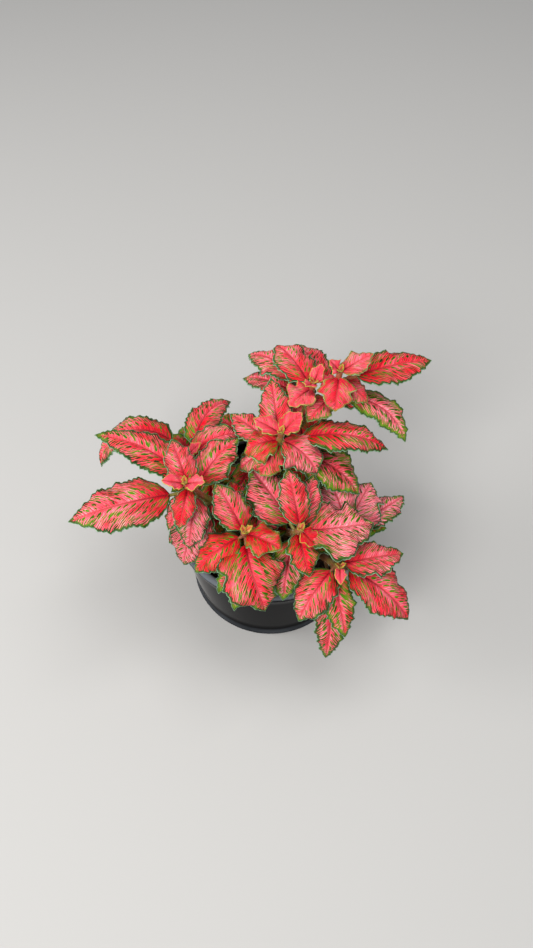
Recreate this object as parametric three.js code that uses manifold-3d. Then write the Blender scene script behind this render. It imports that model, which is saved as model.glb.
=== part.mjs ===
// A small potted nerve plant: a glossy black pot with a rolled rim, filled with potting mix in which soft
// leafy stems stand, each with pairs of toothed leaves set crosswise up the stem.
// Millimetres, +Z up. The origin is the middle of the pot's underside, on the surface it stands on.
// The plant's front is towards -Y.
import * as THREE from "three";
import { mergeVertices } from "three/addons/utils/BufferGeometryUtils.js";
import Module from "manifold-3d";

const wasm = await Module();
wasm.setup();

// Driving dimensions of the pot
const POT_HEIGHT = 52;
const RIM_RADIUS = 44.3; // outermost reach of the rolled rim
const RIM_BEAD = 1.7; // radius of the rolled edge
const FOOT_RADIUS = 38; // outermost reach of the rounded foot
const FOOT_BEAD = 1.2; // radius of the foot's round edge
const WALL = 2;
const FLOOR = 3;
const DRAIN_COUNT = 4;
const DRAIN_RADIUS = 3;
const DRAIN_SIDES = 12;
const DRAIN_CIRCLE = 20; // radius of the circle on which the drain holes lie
const ROUND_SIDES = 40;

// Driving dimensions of the filling
const SOIL_LEVEL = 45; // height of the mix at the pot's wall
const SOIL_MOUND = 1.5; // how much higher it is in the middle
const SOIL_LUMPS = 0.6;
const SOIL_SIDES = 24;
const SOIL_RINGS = 4;
const GAP = 0.3; // between pieces that touch

// Driving dimensions of the stems and leaves
const STALK_RADIUS = 1.6;
const STALK_SIDES = 5;
const STALK_STEPS = 5;
const STALK_UPRIGHT = 0.35; // share of a stalk's rise over which it stays upright
const STALK_LEAN = [0.75, 0.7]; // shares of its lean and its rise that it has reached where it bends over
const ROOT_DEPTH = 9; // how far a stalk stands in the mix
const HOLE_RADIUS = 2.3;
const HOLE_SIDES = 6;
const BLADE = 0.8; // thickness of a leaf's blade
const PETIOLE = 1.5; // thickness of a leaf's stalk
const PETIOLE_HALF = [0.8, 0.9]; // half its width at the stalk and at the blade
const CLEARANCE = 0.4; // least distance kept between leaves of different stems
const SISTER_CLEARANCE = 0.1; // and between the blades of one stem, where they have room
const RIB_STEPS = 24; // steps by which a leaf's midrib is followed
const DROOP_POWER = 1.4; // how late along the leaf its droop comes
const YOUNG = 16; // leaves shorter than this are young: cupped upwards, and with the fewest teeth
const TEETH = { young: 3, small: 4, middle: 5, large: 6 }; // teeth along each side of a blade
const MIDDLE_SIZE = 26; // leaves longer than this have the middle number of teeth
const LARGE_SIZE = 40;
const TOOTH = { notch: 0.92, tip: 1.08, at: 0.62 }; // width at notch and tip, and the tip's place between them
const CUP = { young: 0.2, grown: -0.12 }; // lift of a blade's edge over its half width
const RIPPLE = 0.06; // height of the edge's waves over the blade's width
const RIPPLES = 2.2; // waves along a blade
const WAVE_SHIFT = 2.4; // from one leaf of a stem to the next, in radians

// The bends that a leaf may take to pass clear of its neighbours: degrees added to its rise and to its
// heading. The first that is clear is taken, so a leaf with room stays as it was set.
const BEND_SIZES = [5, 10, 15, 21, 28];
const BEND_WAYS = [[1, 0], [-1, 0], [0, 1], [0, -1], [1, 1], [1, -1], [-1, 1], [-1, -1]];
const BENDS = [[0, 0]];
for (const size of BEND_SIZES) for (const [rise, turn] of BEND_WAYS) BENDS.push([rise * size, turn * size]);
const SMALL_BENDS = BENDS.slice(0, 1 + 3 * BEND_WAYS.length);
const SHORTENINGS = [1, 0.86, 0.72]; // tried when no bend alone is clear
// First tries keep a blade clear of its own stem's other leaves too, with small bends only
const TRIES = [
  [true, [1], SMALL_BENDS],
  [false, SHORTENINGS, BENDS],
];

// Each stem: where it leaves the mix (x, y), where its growing tip is (x, y, z), and its leaves as rows of
// distance below the tip, heading (0 is +X, 90 is +Y), length from stalk to leaf tip, rise at the stalk,
// droop from stalk to tip, width and sideways sweep. Lengths in mm, angles in degrees. lower gives the
// hidden leaf pairs further down: first distance below the tip, step between pairs, number of pairs,
// heading of the first pair, length.
const STEMS = [
  {
    name: "leafy_stem_left",
    foot: [-14, -6],
    tip: [-35, -12, 92],
    leaves: [
      [0, -176, 10, 28, 15, 7, 0],
      [0, -16, 10, 36, 15, 7, 0],
      [3, 113, 21, 40, 25, 12, 0],
      [3, -100, 19, 0, 35, 9, 0],
      [8, -164, 53, 11, 28, 23, 0],
      [8, 62, 30, 25, 30, 16, -20],
      [5, -130, 20, -3, 45, 9, 0],
      [10, -101, 25, -12, 60, 13, 0],
      [14, 134, 56, 24, 35, 16, 35],
      [18, -118, 33, -8, 75, 18, 0],
      [21, -147, 28, 3, 55, 14, 0],
    ],
    lower: [30, 10, 2, 40, 26],
  },
  {
    name: "leafy_stem_left_back",
    foot: [-17, 6],
    tip: [-36, 8, 84],
    leaves: [
      [0, 20, 9, 50, 15, 5, 0],
      [0, 200, 9, 50, 15, 5, 0],
      [3, 48, 26, 33, 55, 15, -45],
      [4, 126, 68, 13, 100, 17, 85],
      [7, 99, 45, 20, 60, 14, -60],
    ],
    lower: [16, 11, 1, 120, 27],
  },
  {
    name: "leafy_stem_middle",
    foot: [0, 8],
    tip: [4, 3, 106],
    leaves: [
      [0, 150, 13, 15, 15, 8, 0],
      [0, 38, 12, 29, 10, 9, 0],
      [5, -172, 17, 4, 65, 16, 0],
      [12, -169, 21, -10, 60, 14, 0],
      [5, -22, 22, 0, 60, 17, -30],
      [8, 12, 50, 13, 60, 15, -15],
      [9, 98, 28, 43, 25, 13, 0],
      [14, 136, 29, 14, 35, 13, 0],
      [18, 4, 42, 4, 60, 20, -45],
      [8, -125, 16, -20, 50, 14, 0],
    ],
    lower: [30, 12, 1, 70, 26],
  },
  {
    name: "leafy_stem_back_right",
    foot: [15, 13],
    tip: [28, 25, 118],
    leaves: [
      [0, 150, 7, 50, 20, 6, 0],
      [0, 27, 16, 22, 20, 10, 0],
      [4, -167, 8, -15, 20, 7, 0],
      [5, -16, 16, -8, 45, 12, -15],
      [6, 21, 45, 7, 28, 17, 0],
      [13, 111, 41, 7, 45, 13, 0],
      [14, 8, 23, -11, 40, 10, 0],
      [14, -145, 17, 2, 45, 11, 0],
      [16, 17, 41, 0, 60, 14, -80],
      [2, -98, 15, -15, 35, 13, 0],
    ],
    lower: [38, 12, 2, 120, 24],
  },
  {
    name: "leafy_stem_back",
    foot: [8, 21],
    tip: [17.5, 24, 112],
    leaves: [
      [0, 60, 9, 45, 15, 5, 0],
      [0, 240, 9, 45, 15, 5, 0],
      [3, -140, 13, 2, 50, 12, 0],
      [8, -140, 17, 0, 55, 10, 0],
      [3, 118, 32, 16, 50, 15, 0],
      [5, 126, 44, 6, 50, 15, 10],
      [12, 135, 40, 1, 45, 12, 10],
    ],
    lower: [24, 16, 2, 100, 28],
  },
  {
    name: "leafy_stem_front_left",
    foot: [-8, -16],
    tip: [-11, -28, 80],
    leaves: [
      [0, 20, 8, 50, 15, 4, 0],
      [1, 120, 24, 31, 22, 14, 5],
      [2, -19, 17, 9, 25, 14, -10],
      [5, -156, 28, -3, 65, 15, 0],
      [6, -89, 35, 1, 75, 25, 35],
      [9, 40, 21, 13, 25, 11, 0],
      [12, 127, 28, 3, 40, 15, 0],
      [20, -103, 34, 7, 70, 12, 0],
      [24, -121, 29, 17, 60, 10, 0],
    ],
    lower: [20, 9, 1, 190, 23],
  },
  {
    name: "leafy_stem_front_middle",
    foot: [6, -13],
    tip: [12, -29, 84],
    leaves: [
      [0, -37, 9, -18, 20, 7, 0],
      [1, 103, 26, 42, 18, 12, 0],
      [4, -3, 32, 9, 30, 25, 25],
      [6, -80, 20, 2, 55, 12, 10],
      [8, 70, 25, 31, 20, 12, 0],
      [10, 130, 34, 23, 25, 20, 0],
      [14, -101, 31, -8, 65, 13, 0],
    ],
    lower: [20, 9, 1, 330, 23],
  },
  {
    name: "leafy_stem_front_right",
    foot: [17, -19],
    tip: [28, -40, 73],
    leaves: [
      [0, -89, 8, 4, 15, 4, 0],
      [4, 10, 31, 5, 32, 15, 10],
      [4, -129, 30, -3, 75, 16, 0],
      [8, -84, 34, -5, 70, 12, 15],
      [9, -22, 44, 0, 60, 20, -15],
      [14, -77, 49, -10, 80, 12, -30],
    ],
    lower: [20, 8, 1, 340, 22],
  },
  {
    name: "leafy_stem_right",
    foot: [22, -5],
    tip: [34, -20, 68],
    leaves: [
      [0, 136, 6, 58, 10, 4, 0],
      [2, 113, 27, 41, 25, 16, 0],
      [4, 60, 25, 35, 30, 21, 0],
      [5, 23, 36, 12, 35, 13, 25],
    ],
    lower: [12, 8, 1, 340, 24],
  },
  {
    name: "leafy_stem_back_low",
    foot: [-5, 24],
    tip: [-9, 35, 63],
    leaves: [
      [0, 60, 9, 40, 10, 5, 0],
      [0, 240, 9, 40, 10, 5, 0],
    ],
    lower: [3, 8, 2, 150, 25],
  },
  {
    name: "leafy_stem_side_left_low",
    foot: [-24, 14],
    tip: [-36, 24, 64],
    leaves: [
      [0, 60, 9, 40, 10, 5, 0],
      [0, 240, 9, 40, 10, 5, 0],
    ],
    lower: [3, 7, 2, 120, 22],
  },
  {
    name: "leafy_stem_side_right_low",
    foot: [25, 9],
    tip: [35, 14, 60],
    leaves: [
      [0, 120, 9, 40, 10, 5, 0],
      [0, 300, 9, 40, 10, 5, 0],
    ],
    lower: [3, 6, 2, 100, 17],
  },
];

// Hidden leaves: how much their heading, rise and length vary about the rule's values
const LOWER_TURN = 90; // from one pair to the next, up the stem
const LOWER_RISE = 12;
const LOWER_DROOP = 42;
const LOWER_WIDTH = 0.5; // width over length
const LOWER_SPREAD = { heading: 24, rise: 10, length: 0.12 };

// A repeatable row of numbers between 0 and 1
let draw = 4711;
function nextDraw() {
  draw = (draw * 16807) % 2147483647;
  return draw / 2147483647;
}
const vary = (spread) => (2 * nextDraw() - 1) * spread;

function lowerLeaves(stem) {
  const [first, step, pairs, heading, length] = stem.lower;
  const rows = [];
  for (let pair = 0; pair < pairs; pair++)
    for (const side of [0, 180])
      rows.push([
        first + step * pair + side / 90,
        heading + LOWER_TURN * pair + side + vary(LOWER_SPREAD.heading),
        length * (1 + vary(LOWER_SPREAD.length)),
        LOWER_RISE + vary(LOWER_SPREAD.rise),
        LOWER_DROOP,
        length * LOWER_WIDTH,
        0,
      ]);
  return rows;
}

// The solid that a closed geometry encloses
function solidOf(geometry) {
  const bare = geometry.clone();
  bare.deleteAttribute("normal");
  bare.deleteAttribute("uv");
  const merged = mergeVertices(bare, 1e-4);
  return new wasm.Manifold(
    new wasm.Mesh({
      numProp: 3,
      vertProperties: merged.attributes.position.array,
      triVerts: new Uint32Array(merged.index.array),
    }),
  );
}

// The solid enclosed by triangles between numbered points
function solidOfTriangles(points, triangles) {
  return new wasm.Manifold(
    new wasm.Mesh({
      numProp: 3,
      vertProperties: new Float32Array(points.flat()),
      triVerts: new Uint32Array(triangles.flat()),
    }),
  );
}

// The surface of a solid
function geometryOf(solid) {
  const { vertProperties, triVerts, numProp } = solid.getMesh();
  const position = new Float32Array((vertProperties.length / numProp) * 3);
  for (let i = 0; i < position.length / 3; i++)
    position.set(vertProperties.subarray(i * numProp, i * numProp + 3), i * 3);
  const geometry = new THREE.BufferGeometry();
  geometry.setAttribute("position", new THREE.BufferAttribute(position, 3));
  geometry.setIndex(new THREE.BufferAttribute(new Uint32Array(triVerts), 1));
  geometry.computeVertexNormals();
  return geometry;
}

// A solid of revolution about Z from an outline of [radius, height] points
function turned(outline, sides) {
  const points = outline.map(([radius, height]) => new THREE.Vector2(radius, height));
  return new THREE.LatheGeometry(points, sides).rotateX(Math.PI / 2);
}

// An upright peg of a given bottom height
function peg(radius, length, sides, x, y, bottom) {
  const geometry = new THREE.CylinderGeometry(radius, radius, length, sides).rotateX(Math.PI / 2);
  return solidOf(geometry.translate(x, y, bottom + length / 2));
}

// Points of an arc in an outline, from one angle to another in degrees
function arc(centreRadius, centreHeight, radius, from, to, steps) {
  const points = [];
  for (let i = 0; i <= steps; i++) {
    const angle = ((from + ((to - from) * i) / steps) * Math.PI) / 180;
    points.push([centreRadius + radius * Math.cos(angle), centreHeight + radius * Math.sin(angle)]);
  }
  return points;
}

// Pot: turned wall with a rolled rim and a round foot, drained through its floor
const NECK_HEIGHT = 4; // where the foot has run into the wall
const NECK_RADIUS = FOOT_RADIUS - 0.9;
const BEAD_RADIUS = RIM_RADIUS - RIM_BEAD;
const BEAD_HEIGHT = POT_HEIGHT - RIM_BEAD;
const UNDER_RIM = BEAD_HEIGHT - 3.2; // where the wall meets the rolled rim
const UNDER_RIM_RADIUS = BEAD_RADIUS - 0.2;
const INNER_EDGE = 1; // of the bevel between the wall and the floor inside
const CUT_OVER = 1; // how far a cut reaches past the surfaces it opens

function wallRadius(height) {
  const share = (height - NECK_HEIGHT) / (UNDER_RIM - NECK_HEIGHT);
  return NECK_RADIUS + (UNDER_RIM_RADIUS - NECK_RADIUS) * share;
}

function makePot() {
  const outline = [
    [0, 0],
    ...arc(FOOT_RADIUS - FOOT_BEAD, FOOT_BEAD, FOOT_BEAD, -90, 50, 4),
    [NECK_RADIUS, NECK_HEIGHT],
    [UNDER_RIM_RADIUS, UNDER_RIM],
    ...arc(BEAD_RADIUS, BEAD_HEIGHT, RIM_BEAD, -40, 180, 6),
    [wallRadius(UNDER_RIM) - WALL, UNDER_RIM],
    [wallRadius(FLOOR + INNER_EDGE) - WALL, FLOOR + INNER_EDGE],
    [wallRadius(FLOOR) - WALL - INNER_EDGE, FLOOR],
    [0, FLOOR],
  ];
  let pot = solidOf(turned(outline, ROUND_SIDES));
  for (let i = 0; i < DRAIN_COUNT; i++) {
    const angle = ((i + 0.5) / DRAIN_COUNT) * 2 * Math.PI;
    const x = DRAIN_CIRCLE * Math.cos(angle);
    const y = DRAIN_CIRCLE * Math.sin(angle);
    pot = pot.subtract(peg(DRAIN_RADIUS, FLOOR + 2 * CUT_OVER, DRAIN_SIDES, x, y, -CUT_OVER));
  }
  return pot;
}

// Potting mix: fills the pot to below its rim, mounded, with a lumpy top and a plain hole for each stalk
function makeSoil() {
  const edge = wallRadius(SOIL_LEVEL) - WALL - GAP;
  const outline = [
    [0, FLOOR + GAP],
    [wallRadius(FLOOR) - WALL - INNER_EDGE - 2 * GAP, FLOOR + GAP],
    [wallRadius(FLOOR + INNER_EDGE) - WALL - 2 * GAP, FLOOR + INNER_EDGE + 2 * GAP],
  ];
  for (let ring = 0; ring <= SOIL_RINGS; ring++) outline.push([edge * (1 - ring / SOIL_RINGS), SOIL_LEVEL]);
  const geometry = turned(outline, SOIL_SIDES);
  const position = geometry.attributes.position;
  for (let i = 0; i < position.count; i++) {
    const x = position.getX(i);
    const y = position.getY(i);
    const share = Math.hypot(x, y) / edge;
    if (position.getZ(i) < SOIL_LEVEL - 1 || share > 0.99) continue;
    const lumps = Math.sin(0.55 * x + 1.3) * Math.sin(0.62 * y - 0.4) + 0.5 * Math.sin(1.1 * x - 0.9 * y);
    position.setZ(i, SOIL_LEVEL + SOIL_MOUND * (1 - share * share) + SOIL_LUMPS * lumps * (1 - share));
  }
  let soil = solidOf(geometry);
  const bottom = SOIL_LEVEL - ROOT_DEPTH - CUT_OVER;
  const depth = ROOT_DEPTH + SOIL_MOUND + SOIL_LUMPS + 2 * CUT_OVER;
  for (const { foot } of STEMS) soil = soil.subtract(peg(HOLE_RADIUS, depth, HOLE_SIDES, ...foot, bottom));
  return soil;
}

// Stalk: rises straight from the mix and leans over to its growing tip
function stalkCurve({ foot, tip }) {
  const [x, y] = foot;
  const low = SOIL_LEVEL + SOIL_MOUND;
  const rise = tip[2] - low;
  const [leaned, risen] = STALK_LEAN;
  return new THREE.CubicBezierCurve3(
    new THREE.Vector3(x, y, low),
    new THREE.Vector3(x, y, low + rise * STALK_UPRIGHT),
    new THREE.Vector3(x + (tip[0] - x) * leaned, y + (tip[1] - y) * leaned, low + rise * risen),
    new THREE.Vector3(...tip),
  );
}

function makeStalk(stem) {
  const section = new THREE.Shape();
  for (let i = 0; i < STALK_SIDES; i++) {
    const angle = (i / STALK_SIDES) * 2 * Math.PI;
    const corner = [STALK_RADIUS * Math.cos(angle), STALK_RADIUS * Math.sin(angle)];
    if (i) section.lineTo(...corner);
    else section.moveTo(...corner);
  }
  const options = { steps: STALK_STEPS, bevelEnabled: false, extrudePath: stalkCurve(stem) };
  const tube = solidOf(new THREE.ExtrudeGeometry(section, options));
  const length = ROOT_DEPTH + SOIL_MOUND + 1; // a little into the tube
  const root = peg(STALK_RADIUS, length, STALK_SIDES, ...stem.foot, SOIL_LEVEL - ROOT_DEPTH);
  return tube.add(root);
}

// Midrib of a leaf: points and directions from stalk to tip, each step turned a little further
function midrib(start, heading, length, rise, droop, sweep) {
  const points = [start];
  const turns = [];
  for (let i = 0; i < RIB_STEPS; i++) {
    const middle = (i + 0.5) / RIB_STEPS;
    const up = ((rise - droop * middle ** DROOP_POWER) * Math.PI) / 180;
    const round = ((heading + sweep * middle) * Math.PI) / 180;
    const step = length / RIB_STEPS;
    const last = points[i];
    points.push([
      last[0] + step * Math.cos(up) * Math.cos(round),
      last[1] + step * Math.cos(up) * Math.sin(round),
      last[2] + step * Math.sin(up),
    ]);
    turns.push([up, round]);
  }
  return { points, turns };
}

// Place on the midrib at a share of its length, with the leaf's right-hand and upward directions there
function stationOn(rib, share) {
  const at = Math.min(share, 1) * RIB_STEPS;
  const i = Math.min(Math.floor(at), RIB_STEPS - 1);
  const centre = rib.points[i].map((v, k) => v + (rib.points[i + 1][k] - v) * (at - i));
  const [up, round] = rib.turns[i];
  const side = new THREE.Vector3(Math.sin(round), -Math.cos(round), 0);
  const ahead = new THREE.Vector3(Math.cos(up) * Math.cos(round), Math.cos(up) * Math.sin(round), Math.sin(up));
  const over = new THREE.Vector3().crossVectors(side, ahead);
  return { centre: new THREE.Vector3(...centre), side, over };
}

// Outline of a blade: half its width over the greatest half width, at a share of its length
const bladeWidth = (share) => 2.49 * share ** 0.55 * (1 - share) ** 0.8;

// Share of a leaf's length that is petiole: the longer the leaf, the more
const petioleShare = (length) => Math.min(Math.max((length - 12) * 0.006, 0.05), 0.2);

// Leaf: a petiole that widens into a thin arched blade with a toothed and waved edge. grow is how much
// larger it is made on all sides, and skip how many of its rows are left out at the petiole.
function makeLeaf(leaf, grow, skip = 0) {
  const { start, heading, length, rise, droop, width, sweep, wave } = leaf;
  const young = length < YOUNG;
  const size = young ? "young" : length > LARGE_SIZE ? "large" : length > MIDDLE_SIZE ? "middle" : "small";
  const teeth = TEETH[size];
  const petiole = petioleShare(length);
  const cup = young ? CUP.young : CUP.grown;
  const rib = midrib(start, heading, length, rise, droop, sweep);
  const points = [];
  const put = (share, across, lift, thick) => {
    const { centre, side, over } = stationOn(rib, share);
    const top = centre.clone().addScaledVector(side, across).addScaledVector(over, lift + grow);
    const under = centre.clone().addScaledVector(side, across).addScaledVector(over, lift - thick - grow);
    points.push(top.toArray(), under.toArray());
    return points.length - 2;
  };
  // one point of the edge: share along the blade, side -1 or 1, and how far a tooth stands out or in
  const edge = (share, hand, tooth) => {
    const half = (width / 2) * bladeWidth(share) * tooth + grow;
    const ripple = RIPPLE * width * Math.sin(2 * Math.PI * RIPPLES * share + wave + hand) * bladeWidth(share);
    return put(petiole + (1 - petiole) * share, hand * half, cup * half + ripple, BLADE);
  };
  const rows = [{ edges: {} }];
  for (const hand of [-1, 1]) rows[0].edges[hand] = put(0, hand * (PETIOLE_HALF[0] + grow), 0, PETIOLE);
  for (let i = 0; i < teeth; i++) {
    const share = i / teeth;
    const row = { rib: put(petiole + (1 - petiole) * share, 0, 0, BLADE), edges: {}, tips: {} };
    for (const hand of [-1, 1]) {
      row.edges[hand] = i
        ? edge(share, hand, TOOTH.notch)
        : put(petiole, hand * (PETIOLE_HALF[1] + grow), 0, BLADE);
      row.tips[hand] = edge((i + TOOTH.at) / teeth, hand, TOOTH.tip);
    }
    rows.push(row);
  }
  const end = put(1, 0, cup, BLADE);
  rows.push({ rib: end, edges: { "-1": end, 1: end } });

  rows.splice(0, skip);
  const triangles = [];
  const face = (a, b, c, hand) => {
    const [p, q] = hand > 0 ? [b, c] : [c, b];
    triangles.push([a, p, q], [a + 1, q + 1, p + 1]);
  };
  const wall = (a, b, hand) => {
    const [p, q] = hand > 0 ? [a, b] : [b, a];
    triangles.push([p, p + 1, q], [q, p + 1, q + 1]);
  };
  for (let i = 0; i + 1 < rows.length; i++) {
    const here = rows[i];
    const next = rows[i + 1];
    for (const hand of [-1, 1]) {
      const corners = [here.edges[hand], next.edges[hand]];
      if (here.tips) corners.splice(1, 0, here.tips[hand]);
      if (here.tips) face(here.rib, corners[0], corners[1], hand);
      for (let k = 0; k + 1 < corners.length; k++) wall(corners[k], corners[k + 1], hand);
      if (here.tips) {
        face(here.rib, corners[1], next.rib, hand);
        if (next.rib !== corners[2]) face(next.rib, corners[1], corners[2], hand);
      } else face(next.rib, corners[0], corners[1], hand);
    }
    if (!here.tips) face(next.rib, here.edges[-1], here.edges[1], 1);
  }
  const first = rows[0];
  if (first.tips) for (const hand of [-1, 1]) wall(first.rib, first.edges[hand], hand);
  else wall(first.edges[-1], first.edges[1], 1);
  return solidOfTriangles(points, triangles);
}

// A leaf of a stem as its row sets it, with a bend and a shortening
function leafOn(stem, row, index, bend, shortening) {
  const [below, heading, length, rise, droop, width, sweep] = row;
  const tip = new THREE.Vector3(...stem.tip);
  const curve = stalkCurve(stem);
  const place = 1 - (below + 1) / tip.distanceTo(curve.v0);
  return {
    start: curve.getPoint(place).toArray(),
    heading: heading + bend[1],
    length: length * shortening,
    rise: rise + bend[0],
    droop,
    width: width * shortening,
    sweep,
    wave: index * WAVE_SHIFT,
  };
}

// Build everything: first what doesn't bend, then the leaves, each bent clear of all other stems.
// A leaf that no bend or shortening clears is left out.
const pot = makePot();
const soil = makeSoil();
const stems = STEMS.map((stem) => ({ stem, solid: makeStalk(stem) }));
const far = (a, b) => [0, 1, 2].some((k) => a.min[k] > b.max[k] || b.min[k] > a.max[k]);

// Whether a leaf is clear of all other pieces, and where apart is asked of its own stem's leaves too
function isClear(entry, leaf, apart) {
  const thick = makeLeaf(leaf, CLEARANCE);
  const bounds = thick.boundingBox();
  const others = [pot, soil, ...stems.filter((other) => other !== entry).map((other) => other.solid)];
  const near = others.filter((other) => !far(other.boundingBox(), bounds));
  if (!near.every((other) => other.intersect(thick).isEmpty())) return false;
  return !apart || entry.solid.intersect(makeLeaf(leaf, SISTER_CLEARANCE, 2)).isEmpty();
}

// Joins a leaf to its stem as the first of the tries that is clear
function place(entry, row, index) {
  for (const [apart, shortenings, bends] of TRIES)
    for (const shortening of shortenings)
      for (const bend of bends) {
        const leaf = leafOn(entry.stem, row, index, bend, shortening);
        if (!isClear(entry, leaf, apart)) continue;
        entry.solid = entry.solid.add(makeLeaf(leaf, 0));
        return;
      }
}

for (const entry of stems) entry.stem.leaves.forEach((row, index) => place(entry, row, index));
for (const entry of stems)
  lowerLeaves(entry.stem).forEach((row, index) => place(entry, row, index + entry.stem.leaves.length));

// A stem's outer surface alone: small hollows that crossing leaves enclose are filled
function filled(solid) {
  const shells = solid.decompose();
  return shells.reduce((most, shell) => (shell.volume() > most.volume() ? shell : most));
}

const plant = new THREE.Group();
function add(name, solid, color, roughness) {
  const material = new THREE.MeshStandardMaterial({ color, roughness, metalness: 0 });
  const mesh = new THREE.Mesh(geometryOf(solid), material);
  mesh.name = name;
  plant.add(mesh);
}
add("pot", pot, 0x0b0b0d, 0.15);
add("soil", soil, 0x2a2019, 0.95);
for (const { stem, solid } of stems) add(stem.name, filled(solid), 0xe0505c, 0.5);

export default plant;
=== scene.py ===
"""A small potted nerve plant: glossy black pot, potting mix, and soft leafy stems with pairs of toothed,
pink-veined leaves. Metres, +Z up. The origin is the middle of the pot's underside, the front is -Y."""

import math

import bpy
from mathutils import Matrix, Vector, kdtree, noise


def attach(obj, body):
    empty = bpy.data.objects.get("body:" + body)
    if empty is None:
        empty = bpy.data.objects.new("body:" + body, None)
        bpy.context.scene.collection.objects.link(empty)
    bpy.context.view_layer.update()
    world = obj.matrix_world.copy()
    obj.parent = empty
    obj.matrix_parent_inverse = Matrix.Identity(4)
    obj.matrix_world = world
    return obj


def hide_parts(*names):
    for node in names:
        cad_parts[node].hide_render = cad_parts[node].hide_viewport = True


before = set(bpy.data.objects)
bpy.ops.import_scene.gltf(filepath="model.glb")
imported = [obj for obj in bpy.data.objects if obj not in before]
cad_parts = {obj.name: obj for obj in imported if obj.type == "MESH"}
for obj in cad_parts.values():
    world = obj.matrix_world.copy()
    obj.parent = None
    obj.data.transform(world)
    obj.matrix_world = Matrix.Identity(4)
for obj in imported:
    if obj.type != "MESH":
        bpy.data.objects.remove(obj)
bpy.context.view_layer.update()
bpy.ops.object.select_all(action="DESELECT")
MM = 0.001

# Pot: a small round pot moulded in one piece of near-black glossy plastic, with a rolled rim, a wall
# that narrows to a rounded foot, and four drain holes in its floor. It stands on its foot. It is spun
# from its outline and the holes are cut through it.
POT_HEIGHT = 52 * MM
RIM_RADIUS = 44.3 * MM
RIM_BEAD = 1.7 * MM
FOOT_RADIUS = 38 * MM
FOOT_BEAD = 1.2 * MM
WALL = 2 * MM
FLOOR = 3 * MM
FLOOR_CORNER = 1 * MM
DRAINS = 4
DRAIN_RADIUS = 3 * MM
DRAIN_CIRCLE = 20 * MM
NECK_HEIGHT = 4 * MM
NECK_RADIUS = FOOT_RADIUS - 0.9 * MM
BEAD_RADIUS = RIM_RADIUS - RIM_BEAD
BEAD_HEIGHT = POT_HEIGHT - RIM_BEAD
UNDER_RIM = BEAD_HEIGHT - 3.2 * MM
UNDER_RIM_RADIUS = BEAD_RADIUS - 0.2 * MM
POT_SIDES = 144


def wall_radius(height):
    """Outer radius of the pot's wall, between its neck above the foot and the rolled rim."""
    share = (height - NECK_HEIGHT) / (UNDER_RIM - NECK_HEIGHT)
    return NECK_RADIUS + (UNDER_RIM_RADIUS - NECK_RADIUS) * share


def arc(radius, height, bend, start, end, steps):
    """Points of an arc of the outline round (radius, height), from one angle to another."""
    angles = [math.radians(start + (end - start) * i / steps) for i in range(steps + 1)]
    return [(radius + bend * math.cos(a), height + bend * math.sin(a)) for a in angles]


def take(*pieces):
    """Selects these pieces alone, the first of them active."""
    bpy.ops.object.select_all(action="DESELECT")
    for piece in pieces:
        piece.select_set(True)
    bpy.context.view_layer.objects.active = pieces[0]


def spun(name, outline, sides):
    """A closed body spun about Z from an outline that starts and ends on the axis."""
    mesh = bpy.data.meshes.new(name)
    edges = [(i, i + 1) for i in range(len(outline) - 1)]
    mesh.from_pydata([(radius, 0, height) for radius, height in outline], edges, [])
    body = bpy.data.objects.new(name, mesh)
    bpy.context.collection.objects.link(body)
    take(body)
    bpy.ops.object.mode_set(mode="EDIT")
    bpy.ops.mesh.select_all(action="SELECT")
    bpy.ops.mesh.spin(steps=sides, angle=2 * math.pi, center=(0, 0, 0), axis=(0, 0, 1))
    bpy.ops.mesh.select_all(action="SELECT")
    bpy.ops.mesh.remove_doubles(threshold=0.005 * MM)
    bpy.ops.mesh.normals_make_consistent(inside=False)
    bpy.ops.object.mode_set(mode="OBJECT")
    return body


outline = [(0, 0)]
outline += arc(FOOT_RADIUS - FOOT_BEAD, FOOT_BEAD, FOOT_BEAD, -90, 50, 8)
outline += [(NECK_RADIUS, NECK_HEIGHT)]
outline += [(wall_radius(h * MM), h * MM) for h in (10, 20, 30, 40)]
outline += [(UNDER_RIM_RADIUS, UNDER_RIM)]
outline += arc(BEAD_RADIUS, BEAD_HEIGHT, RIM_BEAD, -40, 180, 20)
outline += [(wall_radius(UNDER_RIM) - WALL, UNDER_RIM)]
outline += [(wall_radius(FLOOR + FLOOR_CORNER) - WALL, FLOOR + FLOOR_CORNER)]
outline += [(wall_radius(FLOOR) - WALL - FLOOR_CORNER, FLOOR)]
outline += [(0, FLOOR)]
pot = spun("pot_body", outline, POT_SIDES)

drills = []
for i in range(DRAINS):
    angle = (i + 0.5) * 2 * math.pi / DRAINS
    place = (DRAIN_CIRCLE * math.cos(angle), DRAIN_CIRCLE * math.sin(angle), FLOOR / 2)
    bpy.ops.mesh.primitive_cylinder_add(vertices=32, radius=DRAIN_RADIUS, depth=2 * FLOOR, location=place)
    drills.append(bpy.context.object)
take(*drills)
bpy.ops.object.join()
drill = bpy.context.object
take(pot)
cut = pot.modifiers.new("drain holes", "BOOLEAN")
cut.object = drill
cut.solver = "EXACT"
bpy.ops.object.modifier_apply(modifier=cut.name)
bpy.data.objects.remove(drill)
take(pot)
bpy.ops.object.shade_smooth_by_angle(angle=math.radians(38))


def finish(name):
    """A new material: itself, its node tree and its shader."""
    material = bpy.data.materials.new(name)
    material.use_nodes = True
    return material, material.node_tree, material.node_tree.nodes["Principled BSDF"]


def node(tree, kind, inputs=None, **settings):
    """A node with its settings, and with its inputs set or linked."""
    made = tree.nodes.new(kind)
    for key, value in settings.items():
        setattr(made, key, value)
    for key, value in (inputs or {}).items():
        if isinstance(value, bpy.types.NodeSocket):
            tree.links.new(value, made.inputs[key])
        else:
            made.inputs[key].default_value = value
    return made


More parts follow.
